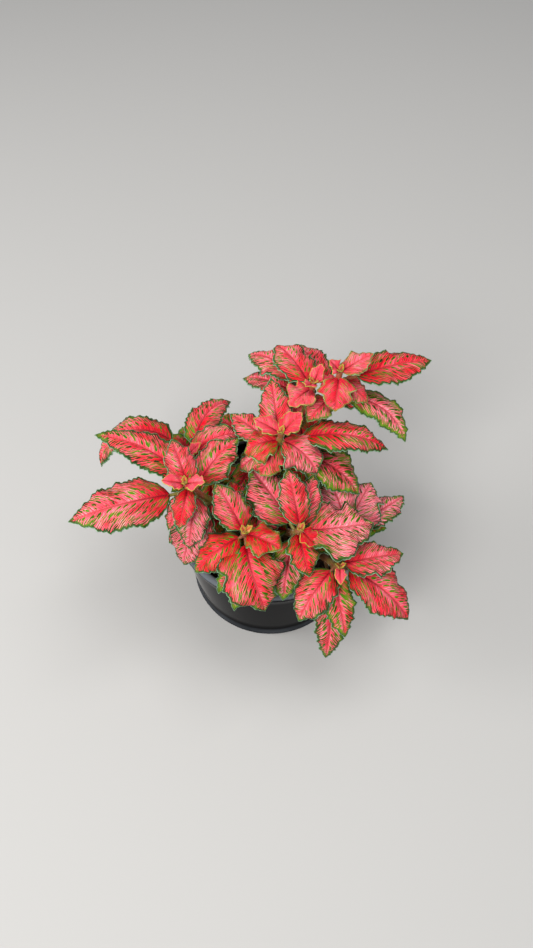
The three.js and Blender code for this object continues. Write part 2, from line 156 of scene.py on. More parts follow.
def tint(red, green, blue):
    """A colour from its screen values, 0 to 255."""
    linear = [((v / 255 + 0.055) / 1.055) ** 2.4 if v > 10 else v / 255 / 12.92 for v in (red, green, blue)]
    return (*linear, 1)


def mixed(tree, share, first, second):
    """The colour between two colours."""
    return node(tree, "ShaderNodeMix", {0: share, 6: first, 7: second}, data_type="RGBA").outputs[2]


def calc(tree, operation, first, second=0.0, third=0.0):
    """One step of arithmetic."""
    inputs = {0: first, 1: second, 2: third}
    return node(tree, "ShaderNodeMath", inputs, operation=operation).outputs[0]


def fade(tree, value, low, high, first=0.0, last=1.0):
    """Goes softly from first to last while value goes from low to high."""
    inputs = {"Value": value, "From Min": low, "From Max": high, "To Min": first, "To Max": last}
    return node(tree, "ShaderNodeMapRange", inputs, interpolation_type="SMOOTHSTEP").outputs[0]


pot_gloss, tree, shader = finish("glossy_black_plastic")
where = node(tree, "ShaderNodeTexCoord").outputs["Object"]
height = node(tree, "ShaderNodeSeparateXYZ", {"Vector": where}).outputs["Z"]
cloudy = node(tree, "ShaderNodeTexNoise", {"Vector": where, "Scale": 55, "Detail": 4}).outputs["Fac"]
black = mixed(tree, cloudy, tint(5, 5, 7), tint(11, 10, 13))

# Dust lies in fine specks, and thinly where water has splashed below the rim.
dust = node(tree, "ShaderNodeTexNoise", {"Vector": where, "Scale": 900, "Detail": 3}).outputs["Fac"]
specks = calc(tree, "MULTIPLY", fade(tree, dust, 0.64, 0.74), 0.5)
splashed = calc(tree, "MULTIPLY", fade(tree, cloudy, 0.5, 0.7), fade(tree, height, 30 * MM, POT_HEIGHT))
dull = calc(tree, "MAXIMUM", specks, calc(tree, "MULTIPLY", splashed, 0.35))
dusty = mixed(tree, calc(tree, "MULTIPLY", dull, 0.05), black, tint(120, 116, 110))

# Painted highlights: the rim and the foot's ledge are painted lighter grey, the rim more.
painted_foot_ledge_highlight = fade(tree, height, 2.6 * MM, 5 * MM, 1, 0)
painted_foot_ledge_highlight = calc(tree, "MULTIPLY", fade(tree, height, 0.8 * MM, 2 * MM), painted_foot_ledge_highlight)
painted_rim_and_foot_highlight = calc(tree, "MAXIMUM", fade(tree, height, 49.8 * MM, 51.4 * MM), painted_foot_ledge_highlight)
painted_rim_and_foot_highlight = calc(tree, "MULTIPLY", painted_rim_and_foot_highlight, fade(tree, cloudy, 0.3, 0.6, 0.6, 1))
painted_rim_and_foot_highlight = calc(tree, "MULTIPLY", painted_rim_and_foot_highlight, fade(tree, height, 40 * MM, 50 * MM, 0.15, 0.5))
# Base colour: dusty black under the painted rim and foot highlights.
tree.links.new(mixed(tree, painted_rim_and_foot_highlight, dusty, tint(146, 152, 158)), shader.inputs["Base Color"])
tree.links.new(fade(tree, dull, 0, 1, 0.08, 0.35), shader.inputs["Roughness"])
skin = node(tree, "ShaderNodeTexNoise", {"Vector": where, "Scale": 260, "Detail": 1}).outputs["Fac"]
bump = node(tree, "ShaderNodeBump", {"Height": skin, "Strength": 0.12, "Distance": 0.05 * MM})
tree.links.new(bump.outputs["Normal"], shader.inputs["Normal"])
shader.inputs["IOR"].default_value = 1.085
pot.data.materials.append(pot_gloss)
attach(pot, "root")
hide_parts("pot")

# Potting mix: damp dark peat that fills the pot to a little below its rim, mounded and uneven, and
# the loose crumbs, bark flakes and white perlite grains that lie on it. It is poured in and pressed.
SOIL_LEVEL = 45 * MM
SOIL_MOUND = 1.5 * MM
SOIL_LUMPS = 0.6 * MM
SOIL_GRAIN = 0.35 * MM
SOIL_CORNER = 1.6 * MM
GAP = 0.3 * MM
SOIL_RINGS = 44
SOIL_SIDES = 96
soil_edge = wall_radius(SOIL_LEVEL) - WALL - GAP


def soil_height(x, y):
    """Height of the mix's top at a place."""
    share = min(math.hypot(x, y) / soil_edge, 1)
    wave = math.sin(0.55 * x / MM + 1.3) * math.sin(0.62 * y / MM - 0.4)
    wave += 0.5 * math.sin((1.1 * x - 0.9 * y) / MM)
    grain = SOIL_GRAIN * noise.noise(Vector((x, y, 0)) / (1.6 * MM))
    return SOIL_LEVEL + SOIL_MOUND * (1 - share**2) + (SOIL_LUMPS * wave + grain) * (1 - share)


outline = [(0, FLOOR + GAP), (wall_radius(FLOOR) - WALL - SOIL_CORNER, FLOOR + GAP)]
outline += [(wall_radius(FLOOR + SOIL_CORNER) - WALL - 2 * GAP, FLOOR + SOIL_CORNER)]
outline += [(soil_edge * (1 - ring / SOIL_RINGS), SOIL_LEVEL) for ring in range(SOIL_RINGS + 1)]
soil = spun("potting_mix", outline, SOIL_SIDES)
for vertex in soil.data.vertices:
    if vertex.co.z > SOIL_LEVEL - 0.1 * MM:
        vertex.co.z = soil_height(vertex.co.x, vertex.co.y)
take(soil)
bpy.ops.object.shade_smooth_by_angle(angle=math.radians(50))

peat, tree, shader = finish("damp_peat")
where = node(tree, "ShaderNodeTexCoord").outputs["Object"]
clods = node(tree, "ShaderNodeTexNoise", {"Vector": where, "Scale": 420, "Detail": 6, "Roughness": 0.7})
clods = clods.outputs["Fac"]
fibres = node(tree, "ShaderNodeTexVoronoi", {"Vector": where, "Scale": 900}).outputs["Distance"]
brown = mixed(tree, clods, tint(20, 14, 10), tint(74, 52, 36))
brown = mixed(tree, fade(tree, fibres, 0.5, 0.9), brown, tint(96, 70, 48))
tree.links.new(brown, shader.inputs["Base Color"])
tree.links.new(fade(tree, clods, 0.3, 0.7, 0.75, 0.98), shader.inputs["Roughness"])
rough = calc(tree, "ADD", clods, calc(tree, "MULTIPLY", fibres, 0.4))
bump = node(tree, "ShaderNodeBump", {"Height": rough, "Strength": 0.9, "Distance": 0.5 * MM})
tree.links.new(bump.outputs["Normal"], shader.inputs["Normal"])
soil.data.materials.append(peat)
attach(soil, "root")
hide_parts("soil")

perlite, tree, shader = finish("perlite_grain")
where = node(tree, "ShaderNodeTexCoord").outputs["Object"]
pits = node(tree, "ShaderNodeTexVoronoi", {"Vector": where, "Scale": 2600}).outputs["Distance"]
tree.links.new(mixed(tree, pits, tint(150, 140, 124), tint(226, 222, 212)), shader.inputs["Base Color"])
bump = node(tree, "ShaderNodeBump", {"Height": pits, "Strength": 0.6, "Distance": 0.2 * MM})
tree.links.new(bump.outputs["Normal"], shader.inputs["Normal"])
shader.inputs["Roughness"].default_value = 0.85

CRUMBS = 420
CRUMB_SIZES = (0.6 * MM, 1.7 * MM)
CRUMBLESS_EDGE = 1.5 * MM
PERLITE_SHARE = 0.1
FLAKE_LENGTH = 1.5


def draws(seed):
    """A repeatable row of numbers between 0 and 1."""
    while True:
        seed = seed * 16807 % 2147483647
        yield seed / 2147483647


def vary(row, spread):
    """The next draw, as a number between -spread and spread."""
    return (2 * next(row) - 1) * spread


def joined(name, pieces):
    """One piece of several, named and alone selected."""
    take(*pieces)
    bpy.ops.object.join()
    whole = bpy.context.object
    whole.name = name
    whole.data.name = name
    return whole


bpy.ops.mesh.primitive_ico_sphere_add(subdivisions=1, radius=1)
crumb = bpy.context.object
crumb_draws = draws(1907)
crumbs = []
for _ in range(CRUMBS):
    reach = (soil_edge - CRUMBLESS_EDGE) * math.sqrt(next(crumb_draws))
    angle = 2 * math.pi * next(crumb_draws)
    x, y = reach * math.cos(angle), reach * math.sin(angle)
    white = next(crumb_draws) < PERLITE_SHARE
    size = CRUMB_SIZES[0] + (CRUMB_SIZES[1] - CRUMB_SIZES[0]) * next(crumb_draws) ** 2
    flat = 0.9 if white else 0.35 + 0.5 * next(crumb_draws)
    long = size * (1 if white else FLAKE_LENGTH)
    turn = next(crumb_draws) * math.pi
    copy = crumb.copy()
    copy.data = crumb.data.copy()
    for vertex in copy.data.vertices:
        lump = noise.noise(vertex.co * 1.7 + Vector((angle, reach / MM, size / MM)))
        a, b, c = vertex.co * (1 + 0.5 * lump)
        right = a * long * math.cos(turn) - b * size * math.sin(turn)
        back = a * long * math.sin(turn) + b * size * math.cos(turn)
        vertex.co = (x + right, y + back, soil_height(x, y) + size * flat * (c + 0.5))
    copy.data.materials.append(perlite if white else peat)
    bpy.context.collection.objects.link(copy)
    crumbs.append(copy)
bpy.data.objects.remove(crumb)
litter = joined("crumbs_and_perlite", crumbs)
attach(litter, "root")

# Leafy stems: soft, slightly hairy stalks that rise from the mix and lean outwards, each with pairs of
# leaves set crosswise and young ones at its tip. Here is where each stem and leaf grows; the two
# sections after this one make the stalks and the leaves.

# A stem has its foot (x, y) in the mix and its growing tip (x, y, z), in mm. Each leaf is a row, in mm
# and degrees: distance below the tip, heading (0 is +X), length, rise at the stalk, droop, width and
# sideways sweep, and then how pale and how green it is. lower gives the pairs further down: distance
# of the first pair, step, count of pairs, heading of the first and length.
STEMS = [
    {
        "name": "leafy_stem_left",
        "foot": (-14, -6),
        "tip": (-35, -12, 92),
        "leaves": [
            (0, -176, 10, 28, 15, 7, 0, 0.35, 0.0),
            (0, -16, 10, 36, 15, 7, 0, 0.4, 0.0),
            (3, 113, 21, 40, 25, 12, 0, 0.4, 0.1),
            (3, -100, 19, 0, 35, 9, 0, 0.15, 0.05),
            (8, -164, 53, 11, 28, 23, 0, 0.5, 0.8),
            (8, 62, 30, 25, 30, 16, -20, 0.45, 0.8),
            (5, -130, 20, -3, 45, 9, 0, 0.5, 0.2),
            (10, -101, 25, -12, 60, 13, 0, 0.8, 0.4),
            (14, 134, 56, 24, 35, 16, 35, 0.35, 0.9),
            (18, -118, 33, -8, 75, 18, 0, 0.8, 0.5),
            (21, -147, 28, 3, 55, 14, 0, 0.5, 0.5),
        ],
        "lower": (30, 10, 2, 40, 26),
    },
    {
        "name": "leafy_stem_left_back",
        "foot": (-17, 6),
        "tip": (-36, 8, 84),
        "leaves": [
            (0, 20, 9, 50, 15, 5, 0, 0.3, 0.0),
            (0, 200, 9, 50, 15, 5, 0, 0.3, 0.0),
            (3, 48, 26, 33, 55, 15, -45, 0.45, 0.3),
            (4, 126, 68, 13, 100, 17, 85, 0.4, 0.8),
            (7, 99, 45, 20, 60, 14, -60, 0.35, 0.7),
        ],
        "lower": (16, 11, 1, 120, 27),
    },
    {
        "name": "leafy_stem_middle",
        "foot": (0, 8),
        "tip": (4, 3, 106),
        "leaves": [
            (0, 150, 13, 15, 15, 8, 0, 0.3, 0.0),
            (0, 38, 12, 29, 10, 9, 0, 0.2, 0.0),
            (5, -172, 17, 4, 65, 16, 0, 0.1, 0.6),
            (12, -169, 21, -10, 60, 14, 0, 0.35, 0.4),
            (5, -22, 22, 0, 60, 17, -30, 0.6, 0.35),
            (8, 12, 50, 13, 60, 15, -15, 0.25, 0.9),
            (9, 98, 28, 43, 25, 13, 0, 0.35, 0.2),
            (14, 136, 29, 14, 35, 13, 0, 0.4, 0.4),
            (18, 4, 42, 4, 60, 20, -45, 0.5, 1.5),
            (8, -125, 16, -20, 50, 14, 0, 0.3, 0.9),
        ],
        "lower": (30, 12, 1, 70, 26),
    },
    {
        "name": "leafy_stem_back_right",
        "foot": (15, 13),
        "tip": (28, 25, 118),
        "leaves": [
            (0, 150, 7, 50, 20, 6, 0, 0.3, 0.0),
            (0, 27, 16, 22, 20, 10, 0, 0.5, 0.1),
            (4, -167, 8, -15, 20, 7, 0, 0.3, 0.0),
            (5, -16, 16, -8, 45, 12, -15, 0.3, 0.2),
            (6, 21, 45, 7, 28, 17, 0, 0.25, 0.7),
            (13, 111, 41, 7, 45, 13, 0, 0.5, 0.5),
            (14, 8, 23, -11, 40, 10, 0, 0.4, 0.5),
            (14, -145, 17, 2, 45, 11, 0, 0.4, 0.6),
            (16, 17, 41, 0, 60, 14, -80, 0.8, 1.4),
            (2, -98, 15, -15, 35, 13, 0, 0.2, 0.2),
        ],
        "lower": (38, 12, 2, 120, 24),
    },
    {
        "name": "leafy_stem_back",
        "foot": (8, 21),
        "tip": (17.5, 24, 112),
        "leaves": [
            (0, 60, 9, 45, 15, 5, 0, 0.3, 0.0),
            (0, 240, 9, 45, 15, 5, 0, 0.3, 0.0),
            (3, -140, 13, 2, 50, 12, 0, 0.4, 0.4),
            (8, -140, 17, 0, 55, 10, 0, 0.4, 0.5),
            (3, 118, 32, 16, 50, 15, 0, 0.4, 0.5),
            (5, 126, 44, 6, 50, 15, 10, 0.5, 0.6),
            (12, 135, 40, 1, 45, 12, 10, 0.5, 0.7),
        ],
        "lower": (24, 16, 2, 100, 28),
    },
    {
        "name": "leafy_stem_front_left",
        "foot": (-8, -16),
        "tip": (-11, -28, 80),
        "leaves": [
            (0, 20, 8, 50, 15, 4, 0, 0.3, 2.2),
            (1, 120, 24, 31, 22, 14, 5, 0.45, 0.5),
            (2, -19, 17, 9, 25, 14, -10, 0.0, 0.5),
            (5, -156, 28, -3, 65, 15, 0, 0.05, 0.7),
            (6, -89, 35, 1, 75, 25, 35, 0.3, 0.9),
            (9, 40, 21, 13, 25, 11, 0, 0.4, 0.5),
            (12, 127, 28, 3, 40, 15, 0, 0.1, 0.4),
            (20, -103, 34, 7, 70, 12, 0, 0.5, 1.6),
            (24, -121, 29, 17, 60, 10, 0, 0.5, 1.5),
        ],
        "lower": (20, 9, 1, 190, 23),
    },
    {
        "name": "leafy_stem_front_middle",
        "foot": (6, -13),
        "tip": (12, -29, 84),
        "leaves": [
            (0, -37, 9, -18, 20, 7, 0, 0.0, 0.2),
            (1, 103, 26, 42, 18, 12, 0, 0.4, 0.4),
            (4, -3, 32, 9, 30, 25, 25, 0.8, 0.9),
            (6, -80, 20, 2, 55, 12, 10, 0.05, 0.6),
            (8, 70, 25, 31, 20, 12, 0, 0.5, 0.5),
            (10, 130, 34, 23, 25, 20, 0, 0.65, 0.7),
            (14, -101, 31, -8, 65, 13, 0, 0.6, 1.2),
        ],
        "lower": (20, 9, 1, 330, 23),
    },
    {
        "name": "leafy_stem_front_right",
        "foot": (17, -19),
        "tip": (28, -40, 73),
        "leaves": [
            (0, -89, 8, 4, 15, 4, 0, 0.3, 0.4),
            (4, 10, 31, 5, 32, 15, 10, 0.45, 0.4),
            (4, -129, 30, -3, 75, 16, 0, 0.4, 0.7),
            (8, -84, 34, -5, 70, 12, 15, 0.4, 1.2),
            (9, -22, 44, 0, 60, 20, -15, 0.35, 0.5),
            (14, -77, 49, -10, 80, 12, -30, 0.45, 0.9),
        ],
        "lower": (20, 8, 1, 340, 22),
    },
    {
        "name": "leafy_stem_right",
        "foot": (22, -5),
        "tip": (34, -20, 68),
        "leaves": [
            (0, 136, 6, 58, 10, 4, 0, 0.3, 0.2),
            (2, 113, 27, 41, 25, 16, 0, 1.1, 0.3),
            (4, 60, 25, 35, 30, 21, 0, 1.2, 0.4),
            (5, 23, 36, 12, 35, 13, 25, 1.0, 0.6),
        ],
        "lower": (12, 8, 1, 340, 24),
    },
    {
        "name": "leafy_stem_back_low",
        "foot": (-5, 24),
        "tip": (-9, 35, 63),
        "leaves": [(0, 60, 9, 40, 10, 5, 0, 0.3, 0.1), (0, 240, 9, 40, 10, 5, 0, 0.3, 0.1)],
        "lower": (3, 8, 2, 150, 25),
    },
    {
        "name": "leafy_stem_side_left_low",
        "foot": (-24, 14),
        "tip": (-36, 24, 64),
        "leaves": [(0, 60, 9, 40, 10, 5, 0, 0.3, 0.1), (0, 240, 9, 40, 10, 5, 0, 0.3, 0.1)],
        "lower": (3, 7, 2, 120, 22),
    },
    {
        "name": "leafy_stem_side_right_low",
        "foot": (25, 9),
        "tip": (35, 14, 60),
        "leaves": [(0, 120, 9, 40, 10, 5, 0, 0.3, 0.1), (0, 300, 9, 40, 10, 5, 0, 0.3, 0.1)],
        "lower": (3, 6, 2, 100, 17),
    },
]
STALK_RADIUS = 1.6
STALK_TIP_RADIUS = 1.05
BARE_TIP = 1
ROOT_DEPTH = 9
MIX_TOP = (SOIL_LEVEL + SOIL_MOUND) / MM
LOWER_TURN = 24
LOWER_LENGTH_SPREAD = 0.12
LOWER_RISE = (12, 10)
LOWER_DROOP = 42
LOWER_TONE = (0.05, 1.3)

leaf_draws = draws(4711)
for stem in STEMS:
    first, step, pairs, heading, length = stem["lower"]
    stem["rows"] = list(stem["leaves"])
    for pair in range(pairs):
        for side in (0, 180):
            turn = heading + 90 * pair + side + vary(leaf_draws, LOWER_TURN)
            reach = length * (1 + vary(leaf_draws, LOWER_LENGTH_SPREAD))
            rise = LOWER_RISE[0] + vary(leaf_draws, LOWER_RISE[1])
            below = first + step * pair + side / 90
            stem["rows"].append((below, turn, reach, rise, LOWER_DROOP, length / 2, 0, *LOWER_TONE))


def stalk_corners(stem):
    """The four control points of a stalk's curve, in mm."""
    x, y = stem["foot"]
    tip = Vector(stem["tip"])
    rise = tip.z - MIX_TOP
    bend = Vector((x + (tip.x - x) * 0.75, y + (tip.y - y) * 0.75, MIX_TOP + rise * 0.7))
    return Vector((x, y, MIX_TOP)), Vector((x, y, MIX_TOP + rise * 0.35)), bend, tip


def along_stalk(stem, share):
    """The place at a share of the way up a stalk."""
    a, b, c, d = stalk_corners(stem)
    rest = 1 - share
    return a * rest**3 + b * 3 * rest**2 * share + c * 3 * rest * share**2 + d * share**3


def leaf_root(stem, below):
    """Where a leaf starts on the stalk, as a share of the stalk."""
    foot, _, _, tip = stalk_corners(stem)
    return 1 - (below + BARE_TIP) / (tip - foot).length


# Stalks: pinkish olive, about 3 mm thick, a little thicker at each pair of leaves, with short pale
# hairs. Each is a bent round rod that goes down into the mix, and thins towards its growing tip.
STALK_STEPS = 48
STALK_CAP = 0.6
STALK_CAP_RADIUS = 0.3
NODE_SWELLING = 0.22
NODE_LENGTH = 1.7
HAIRS_PER_MM = 6
HAIR_LENGTH = 0.75
HAIR_RADIUS = 0.045

stalk_skin, tree, shader = finish("stalk_skin")
where = node(tree, "ShaderNodeTexCoord").outputs["Object"]
height = node(tree, "ShaderNodeSeparateXYZ", {"Vector": where}).outputs["Z"]
streaks = node(tree, "ShaderNodeMapping", {"Vector": where, "Scale": (1, 1, 0.18)}).outputs[0]
streaks = node(tree, "ShaderNodeTexNoise", {"Vector": streaks, "Scale": 1500, "Detail": 3}).outputs["Fac"]
blotch = node(tree, "ShaderNodeTexNoise", {"Vector": where, "Scale": 130, "Detail": 3}).outputs["Fac"]
# Darker olive low on the stalk: partly older skin, partly painted shade among the leaves.
lower_stalk_aged_and_shaded = mixed(tree, blotch, tint(66, 52, 26), tint(96, 90, 38))
new = mixed(tree, fade(tree, blotch, 0.4, 0.6), tint(126, 120, 44), tint(164, 78, 54))
bark = mixed(tree, fade(tree, height, 50 * MM, 85 * MM), lower_stalk_aged_and_shaded, new)
bark = mixed(tree, calc(tree, "MULTIPLY", fade(tree, streaks, 0.5, 0.75), 0.3), bark, tint(196, 170, 120))
tree.links.new(bark, shader.inputs["Base Color"])
tree.links.new(fade(tree, streaks, 0.2, 0.8, 0.42, 0.6), shader.inputs["Roughness"])
bump = node(tree, "ShaderNodeBump", {"Height": streaks, "Strength": 0.5, "Distance": 0.15 * MM})
tree.links.new(bump.outputs["Normal"], shader.inputs["Normal"])

hair_white, tree, shader = finish("pale_hair")
where = node(tree, "ShaderNodeTexCoord").outputs["Object"]
uneven = node(tree, "ShaderNodeTexNoise", {"Vector": where, "Scale": 2000}).outputs["Fac"]
tree.links.new(mixed(tree, uneven, tint(206, 190, 170), tint(240, 232, 216)), shader.inputs["Base Color"])
shader.inputs["Roughness"].default_value = 0.6


def rod(name, path, radii, roundness, skin):
    """A round rod along a path, with a radius at each of its points, all in mm."""
    curve = bpy.data.curves.new(name, "CURVE")
    curve.dimensions = "3D"
    curve.bevel_depth = MM
    curve.bevel_resolution = roundness
    curve.use_fill_caps = True
    spline = curve.splines.new("POLY")
    spline.points.add(len(path) - 1)
    for point, place, radius in zip(spline.points, path, radii):
        point.co = (*(place * MM), 1)
        point.radius = radius
    made = bpy.data.objects.new(name, curve)
    bpy.context.collection.objects.link(made)
    take(made)
    bpy.ops.object.convert(target="MESH")
    made = bpy.context.object
    made.data.materials.clear()
    made.data.materials.append(skin)
    bpy.ops.object.shade_smooth_by_angle(angle=math.radians(50))
    return made


def hairs_on(name, path, radii, count, row):
    """Short tapered three-sided hairs that stand out of a rod, more or less squarely."""
    points, faces = [], []
    for _ in range(count):
        at = next(row) * (len(path) - 2)
        i = int(at)
        angle = 2 * math.pi * next(row)
        ahead = (path[i + 1] - path[i]).normalized()
        right = ahead.orthogonal().normalized()
        side = right * math.cos(angle) + ahead.cross(right) * math.sin(angle)
        root = path[i].lerp(path[i + 1], at - i) + side * radii[i] * 0.9
        across = side.cross(ahead)
        lean = (side + ahead * vary(row, 0.5) + across * vary(row, 0.4)).normalized()
        start = len(points)
        for corner in (ahead, across * 0.87 - ahead * 0.5, -across * 0.87 - ahead * 0.5):
            points.append((root + corner * HAIR_RADIUS) * MM)
        points.append((root + lean * HAIR_LENGTH * (0.6 + 0.5 * next(row))) * MM)
        for a, b, c in ((0, 1, 3), (1, 2, 3), (2, 0, 3), (0, 2, 1)):
            faces.append((start + a, start + b, start + c))
    mesh = bpy.data.meshes.new(name)
    mesh.from_pydata(points, [], faces)
    mesh.materials.append(hair_white)
    made = bpy.data.objects.new(name, mesh)
    bpy.context.collection.objects.link(made)
    take(made)
    bpy.ops.object.mode_set(mode="EDIT")
    bpy.ops.mesh.select_all(action="SELECT")
    bpy.ops.mesh.normals_make_consistent(inside=False)
    bpy.ops.object.mode_set(mode="OBJECT")
    return made


hair_draws = draws(311)
for stem in STEMS:
    name = stem["name"] + "_stalk"
    nodes = [max(leaf_root(stem, row[0]), 0) for row in stem["rows"]]
    tall = stem["tip"][2] - MIX_TOP
    path = [Vector((*stem["foot"], SOIL_LEVEL / MM - ROOT_DEPTH))]
    radii = [STALK_RADIUS]
    for i in range(STALK_STEPS + 1):
        share = i / STALK_STEPS
        path.append(along_stalk(stem, share))
        swell = max(math.exp(-(((share - place) * tall / NODE_LENGTH) ** 2)) for place in nodes)
        thin = STALK_RADIUS + (STALK_TIP_RADIUS - STALK_RADIUS) * share**1.5
        radii.append(thin * (1 + NODE_SWELLING * swell))
    path.append(path[-1] + (path[-1] - path[-2]).normalized() * STALK_CAP)
    radii.append(STALK_CAP_RADIUS)
    stalk = rod(name, path, radii, 4, stalk_skin)
    fuzz = hairs_on(name + "_hairs", path[1:], radii[1:], int(HAIRS_PER_MM * tall), hair_draws)
    stalk = joined(name, [stalk, fuzz])
    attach(stalk, "root")
    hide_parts(stem["name"])

# Leaves: soft toothed blades on short petioles, quilted between their sunken veins and waved along
# their edges. Coral pink to red, with a fine net of paler veins, olive-green flecks between them and
# a grey-green margin with a pale rim, partly its own colour and partly painted edge light; the backs
# are duller. Each is a flat blank bent into its place.
FLESH_RED = tint(238, 6, 36)
FLESH_PINK = tint(255, 118, 136)
NET_CORAL = tint(252, 64, 82)
NET_PALE = tint(255, 200, 204)
# Deep red by the petiole, partly painted shade.
BASE_RED_AND_SHADE = tint(190, 4, 22)
YOUNG_RED = tint(214, 22, 34)
YOUNG_CORAL = tint(254, 88, 108)
BUD_YELLOW = tint(196, 172, 48)
LINE_WINE = tint(124, 0, 6)
LINE_RED = tint(128, 12, 12)
LINE_OLIVE = tint(50, 84, 8)
FLECK_FRINGE = tint(160, 146, 34)
FLECK_DARK = tint(8, 50, 0)
FLECK_BRIGHT = tint(84, 138, 6)
# Painted shade in the midrib's crease, darkest by the petiole.
PAINTED_CREASE_SHADE_DARK = tint(140, 12, 26)
PAINTED_CREASE_SHADE_LIGHT = tint(206, 70, 66)
EDGE_DARK = tint(18, 54, 10)
EDGE_BRIGHT = tint(104, 146, 22)
EDGE_SEA_GREEN = tint(30, 86, 34)
EDGE_YOUNG = tint(168, 170, 44)
# Pale rims: partly the edge's own colour, partly painted edge light.
RIM_PALE_AND_EDGE_LIGHT = tint(160, 206, 164)
RIM_YOUNG = tint(206, 204, 84)
BACK_ROSE = tint(206, 108, 118)
BACK_TAN = tint(170, 150, 110)
BACK_EDGE = tint(104, 132, 96)
BACK_VEIN = tint(232, 160, 158)
FACE_ROUGHNESS = (0.4, 0.55)
BACK_ROUGHNESS = (0.55, 0.7)
LEAF_SHINE = 0.16
LEAF_RELIEF = 0.22 * MM


class BladePattern:
    """Where a point of a blade lies among its veins, and the patterns that follow them.

    The blade's mesh keeps three coordinates. leaf_place: the share along the blade, the share across
    it and the mm to its margin. leaf_vein: the count of side veins, the mm out along them and a draw.
    leaf_tone: how pale, how green and how young the leaf is.
    """

    def __init__(self, tree):
        self.tree = tree
        self.along, self.across, self.margin = self.read("leaf_place")
        self.vein, self.way, self.draw = self.read("leaf_vein")
        self.pale, self.green, self.young = self.read("leaf_tone")
        self.drifted_vein, self.drifted_way = self.vein, self.way
        drift = self.cloud(0.8, 0.25, 3.1, 2)["Color"]
        drift = node(tree, "ShaderNodeSeparateXYZ", {"Vector": drift}).outputs
        self.drifted_vein = calc(tree, "ADD", self.vein, calc(tree, "MULTIPLY_ADD", drift[0], 0.24, -0.12))
        self.drifted_way = calc(tree, "ADD", self.way, calc(tree, "MULTIPLY_ADD", drift[1], 1.4, -0.7))
        self.patches = self.cloud(0.45, 0.14, 13.9, 3)["Fac"]
        self.near_side_vein = fade(tree, calc(tree, "PINGPONG", self.vein, 0.5), 0, 0.09, 1, 0)
        self.near_midrib = fade(tree, self.way, 0.2, 0.65, 1, 0)

    def read(self, name):
        """The three numbers of a coordinate."""
        kept = node(self.tree, "ShaderNodeAttribute", attribute_name=name, attribute_type="GEOMETRY")
        return node(self.tree, "ShaderNodeSeparateXYZ", {"Vector": kept.outputs["Vector"]}).outputs

    def spot(self, across_veins, along_veins, offset):
        """A place in a pattern that is stretched along the side veins, elsewhere in it on each leaf."""
        x = calc(self.tree, "MULTIPLY_ADD", self.draw, 62, offset)
        x = calc(self.tree, "MULTIPLY_ADD", self.drifted_vein, across_veins, x)
        y = calc(self.tree, "MULTIPLY_ADD", self.draw, 17.3, offset)
        y = calc(self.tree, "MULTIPLY_ADD", self.drifted_way, along_veins, y)
        return node(self.tree, "ShaderNodeCombineXYZ", {"X": x, "Y": y}).outputs[0]

    def cloud(self, across_veins, along_veins, offset, detail):
        """Soft clouds stretched along the side veins."""
        inputs = {"Vector": self.spot(across_veins, along_veins, offset), "Scale": 1, "Detail": detail}
        return node(self.tree, "ShaderNodeTexNoise", inputs, noise_dimensions="2D").outputs

    def dashes(self, across_veins, along_veins, offset, disorder, wide, long):
        """Pointed dashes that lie along the side veins: 1 in the middle of a dash, 0 at its edge."""
        tree = self.tree
        centred = self.spot(across_veins, along_veins, offset + 0.5 + disorder / 2)
        inputs = {"Vector": centred, "Scale": 1, "Randomness": disorder}
        cell = node(tree, "ShaderNodeTexVoronoi", inputs, voronoi_dimensions="2D").outputs
        off = node(tree, "ShaderNodeVectorMath", {0: centred, 1: cell["Position"]}, operation="SUBTRACT")
        off = node(tree, "ShaderNodeSeparateXYZ", {"Vector": off.outputs[0]}).outputs
        draw = node(tree, "ShaderNodeSeparateColor", {"Color": cell["Color"]}).outputs[0]
        size = calc(tree, "MULTIPLY", calc(tree, "MULTIPLY_ADD", draw, 0.7, 0.62), wide)
        sideways = calc(tree, "DIVIDE", calc(tree, "ABSOLUTE", off[0]), size)
        lengthways = calc(tree, "POWER", calc(tree, "DIVIDE", off[1], long), 2)
        return calc(tree, "SUBTRACT", 1, calc(tree, "ADD", sideways, lengthways))


def back_of_leaf(tree, leaf):
    """The colour and relief of a blade's back: dusty rose and tan, raised veins and a green edge."""
    flesh = mixed(tree, leaf.patches, BACK_ROSE, BACK_TAN)
    flesh = mixed(tree, fade(tree, leaf.margin, 0.7, 1.6, 0.9, 0), flesh, BACK_EDGE)
    veins = calc(tree, "MAXIMUM", leaf.near_side_vein, leaf.near_midrib)
    return mixed(tree, calc(tree, "MULTIPLY", veins, 0.6), flesh, BACK_VEIN), veins


